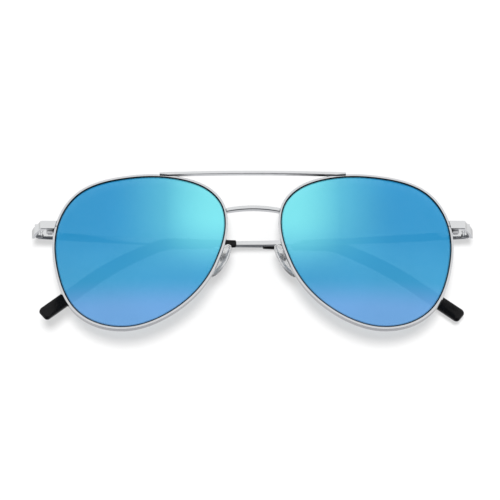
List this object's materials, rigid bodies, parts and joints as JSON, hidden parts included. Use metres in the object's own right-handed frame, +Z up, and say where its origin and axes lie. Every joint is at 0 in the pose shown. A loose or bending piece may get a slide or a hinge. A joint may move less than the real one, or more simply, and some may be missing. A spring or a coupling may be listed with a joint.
{
  "type": "aviator sunglasses",
  "caption": "Folding metal-frame aviator sunglasses with mirrored drop-shaped lenses, a flat top bar, an arched bridge, clear nose pads and black temple tips.",
  "frame": {"origin": "middle of the bridge wire, on the plane that touches the fronts of both lenses", "axes": "+X to the wearer's left, +Y from the front towards the wearer's ears, +Z up as worn"},
  "size_m": [0.1418, 0.036, 0.0534],
  "materials": {
    "polished_metal": "polished silver plating",
    "screw_steel": "turned steel",
    "mirror_lens": "blue mirror coating, cyan at the top and nasal side, deeper blue below",
    "black_tip": "semi-gloss black acetate",
    "clear_silicone": "clear soft silicone"
  },
  "bodies": {
    "front": {"bridge": "polished_metal", "left_end_piece": "polished_metal", "left_hinge_front": "polished_metal", "left_hinge_screw": "screw_steel", "left_lens": "mirror_lens", "left_pad_arm": "polished_metal", "left_pad_box": "polished_metal", "left_pad_screw": "screw_steel", "left_rim": "polished_metal", "left_rim_lock_lower": "polished_metal", "left_rim_lock_screw": "screw_steel", "left_rim_lock_upper": "polished_metal", "right_end_piece": "polished_metal", "right_hinge_front": "polished_metal", "right_hinge_screw": "screw_steel", "right_lens": "mirror_lens", "right_pad_arm": "polished_metal", "right_pad_box": "polished_metal", "right_pad_screw": "screw_steel", "right_rim": "polished_metal", "right_rim_lock_lower": "polished_metal", "right_rim_lock_screw": "screw_steel", "right_rim_lock_upper": "polished_metal", "top_bar": "polished_metal"},
    "left_temple": {"left_hinge_rear": "polished_metal", "left_temple_bar": "polished_metal", "left_temple_tip": "black_tip"},
    "right_temple": {"right_hinge_rear": "polished_metal", "right_temple_bar": "polished_metal", "right_temple_tip": "black_tip"},
    "left_pad": {"left_nose_pad": "clear_silicone", "left_pad_core": "screw_steel"},
    "right_pad": {"right_nose_pad": "clear_silicone", "right_pad_core": "screw_steel"}
  },
  "joints": [
    {"name": "left_temple_fold", "type": "hinge", "parent": "front", "child": "left_temple", "pos_m": [0.0687, 0.0156, -0.0018], "axis": [0.0159, -0.1392, -0.9901], "range_deg": [0, 89.24]},
    {"name": "right_temple_fold", "type": "hinge", "parent": "front", "child": "right_temple", "pos_m": [-0.0687, 0.0156, -0.0018], "axis": [-0.0515, 0.1392, 0.9889], "range_deg": [0, 80.74]},
    {"name": "left_pad_rock", "type": "hinge", "parent": "front", "child": "left_pad", "pos_m": [0.0113, 0.00808, -0.01129], "axis": [-0.5379, -0.7173, -0.4429], "range_deg": [-10, 10]},
    {"name": "right_pad_rock", "type": "hinge", "parent": "front", "child": "right_pad", "pos_m": [-0.0113, 0.00808, -0.01129], "axis": [0.5379, -0.7173, -0.4429], "range_deg": [-10, 10]}
  ],
  "couplings": [
    {"joint": "right_temple_fold", "follows": "left_temple_fold", "ratio": 0.9047}
  ]
}
